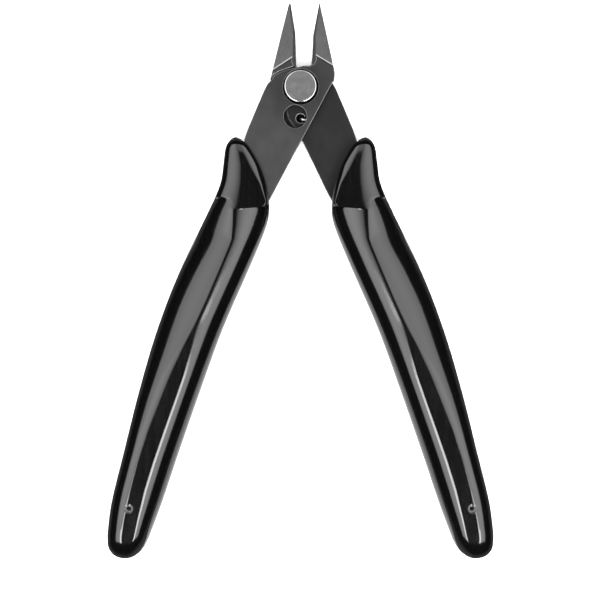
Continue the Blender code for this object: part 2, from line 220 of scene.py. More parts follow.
def turned_steel(name, grey, roughness):
    """Turned end face: fine rings about the pivot axis."""
    look = Look(name, grey, roughness, metallic=1.0)
    rings = look.node("ShaderNodeTexNoise", noise_dimensions='1D')
    rings.inputs["Scale"].default_value = 7000.0
    rings.inputs["Detail"].default_value = 3.0
    look.link(look.from_pivot(), rings.inputs["W"])
    ring = rings.outputs["Fac"]
    cloud = look.noise(900.0, 3.0)
    look.set_colour(look.math('MULTIPLY', look.spread(ring, 0.96, 1.04),
                              look.spread(cloud, 0.97, 1.03)))
    look.set_roughness(look.math('MULTIPLY', look.spread(cloud, 0.95, 1.05),
                                 look.spread(ring, 0.95, 1.05)))
    look.bump(ring, 0.0004)
    return look.mat


def drawn_wire(name, grey, roughness):
    """Bright spring wire, slightly cloudy."""
    look = Look(name, grey, roughness, metallic=1.0)
    cloud = look.noise(1800.0, 3.0)
    look.set_colour(look.spread(cloud, 0.85, 1.12))
    look.set_roughness(look.spread(cloud, 0.85, 1.2))
    look.bump(cloud, 0.0008)
    return look.mat


def glossy_vinyl(name, grey, roughness):
    """Moulded soft vinyl: glossy, very slightly rippled, faint scuffs."""
    look = Look(name, grey, roughness)
    ripple = look.noise(420.0, 2.0)
    peel = look.noise(2600.0, 2.0)
    scuff = look.noise(900.0, 4.0, stretch=(1.0, 0.12, 1.0), turn=0.3)
    look.set_colour(look.spread(peel, 0.8, 1.25))
    look.set_roughness(look.math('MULTIPLY', look.spread(scuff, 0.86, 1.2),
                                 look.spread(peel, 0.96, 1.05)))
    low = look.bump(ripple, 0.0012)
    look.bump(peel, 0.00022, low)
    return look.mat


# ------------------------------------------------------------------- shapes
def smooth(points, steps=LINE_STEPS):
    """Rounded open line through the points, a Catmull-Rom spline."""
    pts = [np.array(p, dtype=float) for p in points]
    pts = [2 * pts[0] - pts[1]] + pts + [2 * pts[-1] - pts[-2]]
    out = []
    for i in range(1, len(pts) - 2):
        a, b, c, d = pts[i - 1], pts[i], pts[i + 1], pts[i + 2]
        for s in range(steps):
            t = s / steps
            out.append(tuple(0.5 * (2 * b + (c - a) * t
                                    + (2 * a - 5 * b + 4 * c - d) * t * t
                                    + (3 * b - a - 3 * c + d) * t ** 3)))
    out.append(tuple(pts[-2]))
    return out


def turned(point, degrees):
    """The point turned about the pivot."""
    c = math.cos(math.radians(degrees))
    s = math.sin(math.radians(degrees))
    return (point[0] * c - point[1] * s, point[0] * s + point[1] * c)


def mirrored(points):
    """The points on the other side of the pivot."""
    return [(-x, y) for x, y in points]


def rough_object(name, mesh, materials=()):
    """Working object in millimetres, removed once the piece is finished."""
    obj = bpy.data.objects.new("work_" + name, mesh)
    bpy.context.scene.collection.objects.link(obj)
    for mat in materials:
        mesh.materials.append(mat)
    return obj


def from_bmesh(name, bm, materials=()):
    """Working object from a closed form, with its faces pointing out."""
    bmesh.ops.recalc_face_normals(bm, faces=bm.faces[:])
    mesh = bpy.data.meshes.new("work_" + name)
    bm.to_mesh(mesh)
    bm.free()
    return rough_object(name, mesh, materials)


def plate(name, outline, z0, z1, materials=()):
    """Flat outline between two heights, from a filled 2D curve."""
    curve = bpy.data.curves.new("work_" + name, 'CURVE')
    curve.dimensions = '2D'
    curve.fill_mode = 'BOTH'
    curve.extrude = (z1 - z0) / 2.0
    edge = curve.splines.new('POLY')
    edge.points.add(len(outline) - 1)
    edge.use_cyclic_u = True
    for point, (x, y) in zip(edge.points, outline):
        point.co = (x, y, 0.0, 1.0)
    drawn = bpy.data.objects.new("work_outline", curve)
    mesh = bpy.data.meshes.new_from_object(drawn)
    bpy.data.objects.remove(drawn)
    bm = bmesh.new()
    bm.from_mesh(mesh)
    bpy.data.meshes.remove(mesh)
    bmesh.ops.remove_doubles(bm, verts=bm.verts[:], dist=WELD)
    # joins the fill's triangles into one flat face
    bmesh.ops.dissolve_limit(bm, angle_limit=0.002, verts=bm.verts[:], edges=bm.edges[:])
    bmesh.ops.translate(bm, vec=(0.0, 0.0, (z0 + z1) / 2.0), verts=bm.verts[:])
    return from_bmesh(name, bm, materials)


def drum(name, centre, radius, z0, z1, sides=SIDES):
    """Upright cylinder between two heights."""
    bm = bmesh.new()
    bmesh.ops.create_cone(bm, cap_ends=True, segments=sides, radius1=radius,
                          radius2=radius, depth=z1 - z0)
    bmesh.ops.translate(bm, vec=(centre[0], centre[1], (z0 + z1) / 2.0), verts=bm.verts[:])
    return from_bmesh(name, bm)


def turned_body(name, profile, centre=(0.0, 0.0), sides=SIDES, materials=(), marked=()):
    """Radius and height pairs, top to bottom, spun about an upright axis.

    The marked bands, counted from the top, take the second material.
    """
    bm = bmesh.new()
    rings = []
    for r, z in profile:
        if r <= 0.0:
            rings.append([bm.verts.new((centre[0], centre[1], z))])
        else:
            rings.append([bm.verts.new((centre[0] + r * math.cos(2 * math.pi * i / sides),
                                        centre[1] + r * math.sin(2 * math.pi * i / sides), z))
                          for i in range(sides)])
    for band, (high, low) in enumerate(zip(rings[:-1], rings[1:])):
        for i in range(sides):
            j = (i + 1) % sides
            if len(high) == 1:
                face = bm.faces.new((high[0], low[i], low[j]))
            elif len(low) == 1:
                face = bm.faces.new((low[0], high[j], high[i]))
            else:
                face = bm.faces.new((high[i], low[i], low[j], high[j]))
            face.material_index = 1 if band in marked else 0
    return from_bmesh(name, bm, materials)


def broken_mouth(name, centre, radius, z0, top, width, materials):
    """Cutter for a round hole whose edge at the height top is softly broken.

    The two materials go to the hole's wall and to its broken edge.
    """
    profile = [(0.0, top + 0.8), (radius + 2.3 * width, top + 0.8),
               (radius + 2.3 * width, top + 0.5 * width),
               (radius + 0.35 * width, top - 0.25 * width), (radius, top - width),
               (radius, z0), (0.0, z0)]
    return turned_body(name, profile, centre, materials=materials, marked=(2,))


def leaning_block(name, low, high, z0, z1):
    """Block between two outlines of as many points, one above the other."""
    bm = bmesh.new()
    floor = [bm.verts.new((x, y, z0)) for x, y in low]
    roof = [bm.verts.new((x, y, z1)) for x, y in high]
    bm.faces.new(floor)
    bm.faces.new(roof)
    for i in range(len(floor)):
        j = (i + 1) % len(floor)
        bm.faces.new((floor[i], floor[j], roof[i]))
        bm.faces.new((floor[j], roof[j], roof[i]))
    return from_bmesh(name, bm)


def cut(target, tool):
    """Takes the tool out of the target; the cut faces keep the tool's materials."""
    brings = len(tool.data.materials) > 0
    mod = target.modifiers.new("cut", 'BOOLEAN')
    mod.operation = 'DIFFERENCE'
    mod.solver = 'EXACT'
    mod.object = tool
    mod.material_mode = 'TRANSFER' if brings else 'INDEX'
    applied(target)
    bpy.data.objects.remove(tool)


def applied(obj):
    """Applies every modifier of a working object."""
    graph = bpy.context.evaluated_depsgraph_get()
    mesh = bpy.data.meshes.new_from_object(obj.evaluated_get(graph),
                                           preserve_all_data_layers=True, depsgraph=graph)
    old = obj.data
    obj.modifiers.clear()
    obj.data = mesh
    bpy.data.meshes.remove(old)


# material slots of a steel half: sheet, ground face, worn edge that is also lightened
# as a painted highlight, the strip at the foot of the ground face, lightened as a painted
# highlight, and the step above that strip, darkened as painted shade
SHEET, GROUND, WEAR_HIGHLIGHT, FOOT, STEP = range(5)
CRISP = (GROUND, FOOT, STEP)
EDGE_ROUND = 0.15
SHARP_DEG = 30.0


def round_edges(obj):
    """Rounds a steel half's sharp edges, except round the ground face and its foot."""
    bm = bmesh.new()
    bm.from_mesh(obj.data)
    bmesh.ops.remove_doubles(bm, verts=bm.verts[:], dist=2 * WELD)
    bmesh.ops.dissolve_degenerate(bm, edges=bm.edges[:], dist=WELD)
    weight = bm.edges.layers.float.new("bevel_weight_edge")
    for edge in bm.edges:
        sharp = edge.calc_face_angle(0.0) > math.radians(SHARP_DEG)
        crisp = any(face.material_index in CRISP for face in edge.link_faces)
        edge[weight] = 1.0 if sharp and not crisp else 0.0
    bm.to_mesh(obj.data)
    bm.free()
    mod = obj.modifiers.new("round", 'BEVEL')
    mod.width = EDGE_ROUND
    mod.segments = 2
    mod.limit_method = 'WEIGHT'
    mod.use_clamp_overlap = False
    # the rounded edges take the lighter worn-edge steel: edge wear, and also a painted highlight
    mod.material = WEAR_HIGHLIGHT
    applied(obj)


def finished(name, obj, body, replaces, sharp_deg=35.0, weighted=True):
    """Turns a working object into a piece of the scene, in metres."""
    obj.data.shade_smooth()
    obj.data.set_sharp_from_angle(angle=math.radians(sharp_deg))
    if weighted:
        mod = obj.modifiers.new("flat", 'WEIGHTED_NORMAL')
        mod.keep_sharp = True
        mod.weight = 90
        applied(obj)
    mesh = obj.data
    mesh.name = name
    mesh.transform(Matrix.Translation((PIVOT[0] * MM, PIVOT[1] * MM, 0.0))
                   @ Matrix.Scale(MM, 4))
    piece = bpy.data.objects.new(name, mesh)
    bpy.context.scene.collection.objects.link(piece)
    bpy.data.objects.remove(obj)
    if body:
        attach(piece, body)
    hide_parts(replaces)
    return piece


# ------------------------------------------------------------- blade halves
def handle_outer():
    """Outer side of the left handle's steel, from the shoulder down along the tang."""
    return smooth([(-6.4, 1.3), (-7.45, 0.1), (-8.95, -3.2), (-10.8, -7.6),
                   (-12.1, -11.0), (-13.5, -16.5), (-16.0, -25.0), (-21.4, -37.0),
                   (-28.2, -53.5), (-35.5, -80.0)])


def handle_inner():
    """Its inner side, from the tang's end back up to the head."""
    tang = smooth([(-31.8, -85.6), (-29.2, -80.0), (-20.0, -53.5), (-12.7, -37.0),
                   (-8.7, -28.8), (-5.6, -22.9)], 4)
    return tang + [(7.05, 0.8)]


TANG_END = [(-36.6, -84.6), (-36.7, -86.0), (-33.0, -86.9), (-32.1, -86.4)]
SHOULDER = [(-6.4, 1.3), (-5.7, 2.4), (-4.45, 3.1), (-2.95, 3.62), (-0.5, 4.15)]
SEAT_GAP = 0.06         # between the rivet's head or tail and the seat of its recess
SPRING_HOLE_TOP = 6.15  # roof of the blind hole for the spring's upright end
ABOVE_LAP = LAP_Z + 0.5
LEDGE_Z = GROOVE_Z - 0.35


def cutting_edge(sign, degrees):
    """The foot of a cutting edge, and a point on its line past the jaw's tip."""
    foot = turned((SHEAR_OFFSET, EDGE_FOOT_Y), sign * degrees)
    tip = turned((SHEAR_OFFSET, TIP_Y + 5.0), sign * degrees)
    return foot, tip


def gap_tool(name, wall, rest):
    """Cutter for the gap between the jaws.

    Each point of its wall has a direction, in which it leans with height.
    """
    z0, z1 = BACK_Z - 0.5, FRONT_Z + OVER
    down = EDGE_LEAN * (z0 - BACK_Z)
    up = EDGE_LEAN * (z1 - BACK_Z)
    low = [(x + dx * down, y + dy * down) for (x, y), (dx, dy) in wall] + rest
    high = [(x + dx * up, y + dy * up) for (x, y), (dx, dy) in wall] + rest
    return leaning_block(name, low, high, z0, z1)


GRIND_DEG, FOOT_DEG = 21.0, 7.0     # slopes of the ground face and of its foot strip
GRIND_STEP = 0.28       # from the front face down to the foot strip
GRIND_FOOT = 0.24       # width of the strip
STEP_RUN = 0.20         # sideways run of the step above it
STEP_WALL = 4           # the strip profile's last side, which cuts the step


def grind_tools(foot_a, foot_b, ground, foot_highlight, dark_shade):
    """Cutters for a jaw's ground front: first its foot strip, then the long face.

    Each is a prism drawn as run along the jaw against height, its own width
    lying along the line through the two feet.
    """
    high, reach, half_width = 20.0, 40.0, 20.0
    slope = math.tan(math.radians(GRIND_DEG))
    foot_slope = math.tan(math.radians(FOOT_DEG))
    drop = GRIND_FOOT * (slope - foot_slope)
    low = -GRIND_FOOT * foot_slope - drop
    strip = [(0.0, -drop), (2 * GRIND_FOOT, -drop - 2 * GRIND_FOOT * foot_slope),
             (2 * GRIND_FOOT, high), (-STEP_RUN, high), (-STEP_RUN, GRIND_STEP)]
    face = [(GRIND_FOOT, low), (reach, low - (reach - GRIND_FOOT) * slope), (reach, high),
            (GRIND_FOOT, high)]
    turn = math.atan2(foot_b[1] - foot_a[1], foot_b[0] - foot_a[0])
    middle = ((foot_a[0] + foot_b[0]) / 2.0, (foot_a[1] + foot_b[1]) / 2.0)
    made = []
    # the foot strip takes a steel lighter than the ground face, a painted highlight
    for label, profile, materials in (("strip", strip, (foot_highlight, dark_shade)),
                                      ("face", face, (ground,))):
        bm = bmesh.new()
        ends = [[bm.verts.new((x, y, z)) for y, z in profile] for x in (-half_width, half_width)]
        bm.faces.new(ends[0])
        bm.faces.new(ends[1])
        for i in range(len(profile)):
            j = (i + 1) % len(profile)
            side = bm.faces.new((ends[0][i], ends[0][j], ends[1][j], ends[1][i]))
            # the step wall takes the near-black steel, painted shade
            side.material_index = 1 if i == STEP_WALL else 0
        bmesh.ops.transform(bm, matrix=Matrix.Rotation(turn, 4, 'Z'), verts=bm.verts[:])
        bmesh.ops.translate(bm, vec=(middle[0], middle[1], FRONT_Z - GRIND_STEP),
                            verts=bm.verts[:])
        made.append(from_bmesh(label, bm, materials))
    return made


def front_half(steel, ground, wear_highlight, foot_highlight, dark_shade):
    """The left handle's steel, which laps over the other and carries the right jaw."""
    head = [(7.35, 1.0), (7.5, 1.7), (7.57, 2.6), (7.5, 3.4), (7.26, 4.3)]
    jaw = [(4.47, 17.4), (4.3, 18.25), (4.15, TIP_Y), (3.6, TIP_Y), (-1.0, TIP_Y),
           (-4.0, 9.0), (-6.6, 4.0)]
    outline = handle_outer() + TANG_END + handle_inner() + head + jaw
    half = plate("front", outline, BACK_Z, FRONT_Z,
                 (steel, ground, wear_highlight, foot_highlight, dark_shade))
    foot, tip = cutting_edge(-1, RIGHT_OPEN)
    wall = [((-0.5, 4.15), (0, 0)), ((0.45, 4.38), (0, 0)), ((1.7, 4.60), (0.4, -0.3)),
            ((2.25, 4.92), (0.7, -0.3)), ((2.48, 5.5), (0.9, -0.2)), ((2.54, 6.1), (1, 0)),
            (foot, (1, -0.1)), (tip, (1, -0.18))]
    rest = [(-14.0, tip[1]), (-14.0, 3.4), (-7.6, 1.3)] + SHOULDER[:-1]
    cut(half, gap_tool("gap", wall, rest))
    for tool in grind_tools((3.07, 6.9), (7.25, 4.4), ground, foot_highlight, dark_shade):
        cut(half, tool)
    block = [(-1.0, 5.9), (2.0, 5.9), (2.4, 5.0), (3.1, 4.1), (4.6, 3.3), (5.85, 2.55),
             (6.6, 1.4), (6.9, 0.9), (9.0, 0.7), (9.0, -14.0), (0.0, -30.0),
             (-20.0, -95.0), (-45.0, -95.0), (-20.0, -5.0), (-10.0, 5.9)]
    cut(half, plate("lap", block, BACK_Z - OVER, LAP_Z + LAP_GAP))
    round_edges(half)
    # holes come after the rounding, which would close up on the web between them
    # the recess wall round the rivet's head is near-black painted shade; its broken edge takes
    # the lighter worn-edge steel
    cut(half, broken_mouth("recess", RECESS, RECESS_R, HEAD_SEAT_Z - SEAT_GAP, FRONT_Z, 0.07,
                           (dark_shade, wear_highlight)))
    cut(half, drum("bore", (0, 0), SHANK_R + BORE_PLAY, BACK_Z, FRONT_Z))
    cut(half, broken_mouth("sight", SIGHT, SIGHT_R, BACK_Z, FRONT_Z, 0.09, (steel, wear_highlight)))
    end = turned((COIL_R, 0.0), COIL_END_DEG)
    cut(half, drum("hole", end, WIRE_R + GROOVE_PLAY, LAP_Z - OVER, SPRING_HOLE_TOP, 24))
    return finished("front_half", half, LEFT, "front_blade_half")


def rear_half(steel, ground, wear_highlight, foot_highlight, dark_shade):
    """The right handle's steel, which lies behind and carries the left jaw."""
    outer = mirrored(handle_outer())[1:]
    bulge = smooth([(0.45, -12.2), (-2.3, -9.4), (-4.4, -6.6), (-5.6, -3.0), (-6.6, 0.75)], 5)
    inner = mirrored(handle_inner()[:-1]) + bulge
    head = [(-6.62, 1.5), (-6.4, 2.4), (-6.2, 3.3)]
    jaw = [(-2.75, 17.4), (-2.6, 18.0), (-2.4, 18.25), (-2.0, 18.25), (2.0, 18.25),
           (7.0, 8.0), (9.0, 3.0), (6.5, 1.2)]
    outline = outer + mirrored(TANG_END) + inner + head + jaw
    half = plate("rear", outline, BACK_Z, FRONT_Z,
                 (steel, ground, wear_highlight, foot_highlight, dark_shade))
    foot, tip = cutting_edge(1, LEFT_OPEN)
    wall = [(tip, (-1, -0.15)), (foot, (-1, -0.1)), ((-0.95, 5.3), (-1, 0)),
            ((-0.9, 4.62), (-0.7, -0.1)), ((-0.6, 4.2), (-0.2, 0)), ((0.3, 4.1), (0, 0))]
    rest = mirrored(SHOULDER)[::-1] + [(7.4, 1.1), (15.0, 3.0), (15.0, tip[1])]
    cut(half, gap_tool("gap", wall, rest))
    for tool in grind_tools((-6.03, 3.5), (-1.64, 6.35), ground, foot_highlight, dark_shade):
        cut(half, tool)
    lap = [(-9.0, 1.1), (-6.75, 1.25), (-5.85, 2.55), (-4.55, 3.25), (-3.0, 3.8),
           (-1.6, 4.25), (-0.98, 4.62), (0.0, 4.62), (10.0, 4.62), (20.0, -5.0),
           (45.0, -95.0), (20.0, -95.0), (0.0, -30.0), (-9.0, -14.0)]
    cut(half, plate("lap", lap, LAP_Z - LAP_GAP, FRONT_Z + OVER))
    cut(half, drum("recess", (0, 0), TAIL_R + PLAY, BACK_Z - OVER, TAIL_Z + SEAT_GAP))
    cut(half, drum("bore", (0, 0), SHANK_R + BORE_PLAY, BACK_Z, FRONT_Z))
    cut(half, drum("groove", (0, 0), COIL_R + WIRE_R + GROOVE_PLAY, GROOVE_Z, ABOVE_LAP))
    slot = [(3.87, -0.9), (3.65, -3.2), (3.25, -5.1), (2.7, -6.8), (1.85, -7.9), (0.8, -8.1),
            (-0.1, -7.6), (0.3, -6.7), (0.95, -6.75), (1.5, -6.15), (1.9, -4.9), (2.25, -3.1),
            (2.42, -0.9)]
    cut(half, plate("slot", slot, GROOVE_Z, ABOVE_LAP))
    ledge = smooth([(-3.1, -4.7), (-2.9, -6.2), (-2.2, -7.8), (-0.9, -9.4)])
    cut(half, plate("ledge", ledge + [(-3.0, -11.0), (-7.5, -4.3)], LEDGE_Z, ABOVE_LAP))
    # the hook hole's wall is near-black painted shade
    cut(half, broken_mouth("hook", HOOK, HOOK_R, BACK_Z + HOOK_FLOOR, LAP_Z - LAP_GAP, 0.18,
                           (dark_shade, wear_highlight)))
    round_edges(half)
    return finished("rear_half", half, RIGHT, "rear_blade_half")


# ------------------------------------------------------------ rivet, spring
def rivet(steel):
    """Turned head with a rounded rim, shank, and closed tail flush with the back."""
    rim_run, rim_drop = 0.38, 0.32
    rim = [(HEAD_R - rim_run + rim_run * math.sin(a), HEAD_TOP_Z - rim_drop * (1 - math.cos(a)))
           for a in np.linspace(0.0, math.pi / 2.0, 9)]
    profile = [(0.0, HEAD_TOP_Z), (2.6, HEAD_TOP_Z)] + rim
    profile += [(HEAD_R, HEAD_SEAT_Z), (SHANK_R, HEAD_SEAT_Z), (SHANK_R, TAIL_Z),
                (TAIL_R, TAIL_Z), (TAIL_R, BACK_Z + 0.25), (TAIL_R - 0.08, BACK_Z + 0.08),
                (TAIL_R - 0.25, BACK_Z), (0.6, BACK_Z), (0.0, BACK_Z + 0.15)]
    body = turned_body("rivet", profile, sides=128, materials=(steel,))
    return finished("rivet", body, LEFT, "pivot_rivet", 40.0)


UPRIGHT_TOP, HOOK_TIP_Z = 5.9, 2.95     # heights of the spring's two ends


def leg_path():
    """The spring's leg, from its coil round to the hook hole."""
    return smooth([(COIL_R, 0.0), (3.12, -1.5), (2.95, -3.2), (2.6, -5.0), (2.1, -6.45),
                   (1.4, -7.35), (0.6, -7.35)], 8)


def spring_path():
    """Upright end in the front half, coil round the rivet, leg, hook in the rear half."""
    bend = 0.55             # radius of the two upright bends
    quarter = range(15, 91, 15)
    step = math.degrees(bend / COIL_R)
    up = turned((COIL_R, 0.0), COIL_END_DEG)
    path = [(up[0], up[1], UPRIGHT_TOP), (up[0], up[1], COIL_Z + bend)]
    for t in quarter:
        back = step * (1.0 - math.cos(math.radians(t)))
        lift = bend * (1.0 - math.sin(math.radians(t)))
        at = turned((COIL_R, 0.0), COIL_END_DEG - back)
        path.append((at[0], at[1], COIL_Z + lift))
    for degrees in np.arange(COIL_END_DEG - 1.5 * step, 3.0, -5.0):
        at = turned((COIL_R, 0.0), degrees)
        path.append((at[0], at[1], COIL_Z))
    for x, y in leg_path():
        path.append((x, y, COIL_Z))
    start = np.array(leg_path()[-1])
    run = np.array(HOOK) - start
    run /= np.linalg.norm(run)
    for t in quarter:
        at = start + run * bend * math.sin(math.radians(t))
        path.append((at[0], at[1], COIL_Z - bend * (1.0 - math.cos(math.radians(t)))))
    path.append((path[-1][0], path[-1][1], HOOK_TIP_Z))
    return path


def tube(name, path, radius, materials, around=20):
    """Round wire along a path, with rounded ends."""
    points = [Vector(p) for p in path]
    last = len(points) - 1
    tangents = [(points[min(i + 1, last)] - points[max(i - 1, 0)]).normalized()
                for i in range(last + 1)]
    across = tangents[0].orthogonal().normalized()
    slices = []
    for point, tangent in zip(points, tangents):
        across = (across - tangent * across.dot(tangent)).normalized()
        slices.append((point, tangent, across.copy(), radius))
    first, final = slices[0], slices[-1]
    nose = radius * 0.5     # length of a rounded end
    head, tail = [], []
    for a in (80, 55, 30):
        back = nose * (1.0 - math.sin(math.radians(a)))
        r = radius - nose * (1 - math.cos(math.radians(a)))
        head.append((first[0] + first[1] * back, first[1], first[2], r))
        tail.insert(0, (final[0] - final[1] * back, final[1], final[2], r))
    bm = bmesh.new()
    rings = []
    for point, tangent, u, r in head + slices[1:-1] + tail:
        v = tangent.cross(u)
        rings.append([bm.verts.new(point + u * r * math.cos(2 * math.pi * k / around)
                                   + v * r * math.sin(2 * math.pi * k / around))
                      for k in range(around)])
    for a, b in zip(rings[:-1], rings[1:]):
        for k in range(around):
            j = (k + 1) % around
            bm.faces.new((a[k], a[j], b[j], b[k]))
    bm.faces.new(rings[0])
    bm.faces.new(rings[-1])
    return from_bmesh(name, bm, materials)


def spring(wire):
    """The spring, a round wire along its path, attached to neither handle."""
    body = tube("spring", spring_path(), WIRE_R, (wire,))
    piece = finished("spring", body, None, "return_spring", 50.0, False)
    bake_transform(piece)
    return piece


# ------------------------------------------------------------------- grips
MOUTH_Y, GRIP_END_Y = -11.2, END_Y + 0.01
MOUTH_ROUND_Y, END_ROUND_Y = -13.2, -97.0   # where the two ends start to round off
EYE_TOP_Z = 8.78                            # front of the grip at the eye
TANG_ROOM, LAP_ROOM = 0.3, 0.27             # between the tang's two faces and its pocket
MOUTH_SHUT, END_SHUT = 0.4, 0.16            # share of the height left at the two ends
MOUTH_MIDDLE_Z, END_MIDDLE_Z = 5.0, 4.3     # height that they close down towards
MOUTH_ROUND = 2.05                          # length over which the mouth would shut
CORNER_RUN, CORNER_RISE = 3.2, 3.4          # rounding of the back's two corners
GRIP_OUTER = smooth([(-14.4, -11.2), (-15.15, -11.55), (-15.75, -12.2), (-16.25, -13.1),
                     (-16.55, -14.2), (-16.9, -17.0), (-17.6, -21.5),
                     (-20.1, -27.3), (-26.5, -40.5), (-31.5, -53.6), (-35.4, -66.8),
                     (-38.7, -80.0), (-41.4, -91.0), (-42.28, -97.5), (-42.36, -99.4),
                     (-42.25, -100.9), (-41.8, -102.0), (-41.0, -102.9), (-40.0, -103.45),
                     (-38.9, GRIP_END_Y)], 10)
GRIP_INNER = smooth([(-14.1, -11.2), (-13.2, -11.6), (-12.35, -12.3), (-11.3, -13.4),
                     (-9.0, -17.4), (-7.6, -21.3),
                     (-6.9, -25.4), (-7.1, -29.5), (-8.6, -33.9), (-11.4, -40.5),
                     (-17.1, -53.6), (-21.9, -66.8), (-26.5, -80.0), (-30.2, -91.0),
                     (-33.0, -98.5), (-33.8, -100.2), (-34.4, -101.2), (-35.2, -102.2),
                     (-36.2, -103.0), (-37.2, -103.5), (-38.1, GRIP_END_Y)], 10)

# Y, then along the handle: outer and inner edge of the flat on its front face,
# drop from the front face to the outer and inner sides, and how sharply the
# face turns down there (2 is an ellipse, less makes a crease)
HANDLE = [
    (-20.0, -14.75, -14.65, 3.4, 3.4, 1.42, 2.00),
    (-27.0, -14.75, -14.65, 3.4, 3.6, 1.42, 2.00),
    (-30.0, -14.80, -14.70, 3.8, 4.1, 1.42, 2.00),
    (-33.8, -15.05, -14.95, 4.8, 4.6, 1.42, 2.00),
    (-40.0, -17.65, -17.55, 4.4, 4.6, 1.42, 1.95),
    (-46.9, -20.60, -20.50, 3.9, 4.6, 1.42, 1.85),
    (-52.0, -22.95, -22.75, 3.8, 4.6, 1.45, 1.80),
    (-57.0, -25.60, -24.10, 3.7, 4.6, 1.55, 1.75),
    (-63.6, -28.60, -25.90, 3.4, 4.7, 1.75, 1.70),
    (-68.9, -30.70, -27.75, 3.0, 4.7, 1.80, 1.70),
    (-75.0, -33.10, -29.95, 2.7, 4.7, 1.80, 1.70),
    (-82.0, -35.40, -32.40, 2.6, 4.7, 1.80, 1.70),
    (-88.6, -37.20, -34.45, 2.5, 4.6, 1.80, 1.70),
    (-95.0, -38.60, -35.90, 2.5, 4.4, 1.80, 1.70),
    (-99.1, -39.20, -36.70, 2.5, 4.1, 1.80, 1.70),
    (GRIP_END_Y, -38.80, -38.20, 2.5, 3.8, 1.80, 1.70),
]
# the same along the thumb stop at the grip's mouth
COLLAR = [
    (-11.2, -14.35, -14.25, 1.3, 1.2, 2.0, 2.6),
    (-13.4, -13.60, -13.20, 1.3, 1.0, 2.0, 2.0),
    (-17.4, -12.80, -11.40, 1.5, 1.0, 2.0, 2.0),
    (-21.3, -12.90, -9.00, 1.6, 1.6, 2.0, 2.0),
    (-25.4, -13.40, -7.60, 1.7, 2.4, 2.0, 2.0),
    (-30.0, -15.00, -10.60, 2.8, 3.4, 2.0, 2.0),
]
# front height of the grip along its length
CREST = [(-11.2, 9.0), (-12.5, 9.2), (-14.5, 9.4), (-17.0, 9.55), (-20.0, 9.7),
         (-26.5, 9.99), (-40.0, 9.99), (-60.0, 9.8), (-75.0, 9.4), (-90.0, 8.9),
         (-97.0, 8.6), (GRIP_END_Y, 8.4)]
# where the thumb stop gives way to the handle, X against Y
STEP_X = [-16.54, -14.63, -14.25, -10.2, -7.0]
STEP_Y = [-24.56, -26.75, -27.30, -26.54, -26.0]
STEP_WIDTH = 0.7
RING_WELD = 0.0008      # points of the slices closer than this are one


# angles at which a side's turn down from the front face is drawn, and a back corner's
TURNS = [0, 1, 3, 7, 12, 18, 25, 33, 42, 51, 60, 69, 78, 84, 90]
CORNER_TURNS = [0, 12, 26, 40, 54, 68, 80, 90]


def front_line(row, x_out, x_in, top):
    """Front of one slice, from the outer side to the inner side."""
    flat_out, flat_in, drop_out, drop_in, turn_out, turn_in = row
    line = []
    for a in reversed(TURNS):
        t = math.radians(a)
        q = math.sin(t) ** (2.0 / turn_out)
        line.append((flat_out + (x_out - flat_out) * q, top - drop_out * (1 - math.cos(t))))
    hem = min(0.12, 0.3 * (flat_in - flat_out))
    line += [(flat_out + hem, top), (flat_in - hem, top)]
    for a in TURNS:
        t = math.radians(a)
        q = math.sin(t) ** (2.0 / turn_in)
        line.append((flat_in + (x_in - flat_in) * q, top - drop_in * (1 - math.cos(t))))
    return line


def soft_step(v):
    """0 to 1, with a soft start and a soft end."""
    v = min(max(v, 0.0), 1.0)
    return v * v * (3.0 - 2.0 * v)


def at_station(stations, values, y):
    """The value at one Y, from a list that runs towards the grip's end."""
    return float(np.interp(-y, [-station for station in stations], values))


def grip_ring(y):
    """Closed section of the left grip at one Y, as points (x, y, z)."""
    x_out = at_station([p[1] for p in GRIP_OUTER], [p[0] for p in GRIP_OUTER], y)
    x_in = at_station([p[1] for p in GRIP_INNER], [p[0] for p in GRIP_INNER], y)
    top = at_station([r[0] for r in CREST], [r[1] for r in CREST], y)
    span = x_in - x_out
    lines = []
    for rows in (COLLAR, HANDLE):
        stations, *columns = zip(*rows)
        row = [at_station(stations, column, y) for column in columns]
        # the flat keeps clear of the grip's two sides
        row[0] = min(max(row[0], x_out + 0.25 * span), x_in - 0.3 * span)
        row[1] = min(max(row[1], row[0] + 0.01), x_in - 0.05 * span)
        lines.append(front_line(row, x_out, x_in, top))
    front = []
    for (xa, za), (xb, zb) in zip(*lines):
        edge = float(np.interp((xa + xb) / 2.0, STEP_X, STEP_Y))
        w = soft_step((edge + STEP_WIDTH / 2.0 - y) / STEP_WIDTH)
        front.append((xa + (xb - xa) * w, za + (zb - za) * w))
    corner = min(CORNER_RUN, 0.42 * span)
    foot_out, foot_in = (min(CORNER_RISE, z * 0.7) for x, z in (front[0], front[-1]))
    back = []
    for a in CORNER_TURNS:
        t = math.radians(a)
        back.append((x_in - corner * (1 - math.cos(t)), foot_in * (1 - math.sin(t))))
    for a in reversed(CORNER_TURNS):
        t = math.radians(a)
        back.append((x_out + corner * (1 - math.cos(t)), foot_out * (1 - math.sin(t))))
    # the two ends close down in an arc
    shut, middle = 1.0, 0.0
    if y < END_ROUND_Y:
        gone = (y - END_ROUND_Y) / (GRIP_END_Y - END_ROUND_Y)
        shut = END_SHUT + (1.0 - END_SHUT) * math.sqrt(max(1.0 - gone ** 2, 0.0))
        middle = END_MIDDLE_Z
    if y > MOUTH_ROUND_Y:
        gone = (y - MOUTH_ROUND_Y) / MOUTH_ROUND
        shut = MOUTH_SHUT + (1.0 - MOUTH_SHUT) * math.sqrt(max(1.0 - gone ** 2, 0.0))
        middle = MOUTH_MIDDLE_Z
    return [(x, y, middle + (z - middle) * shut) for x, z in front + back]


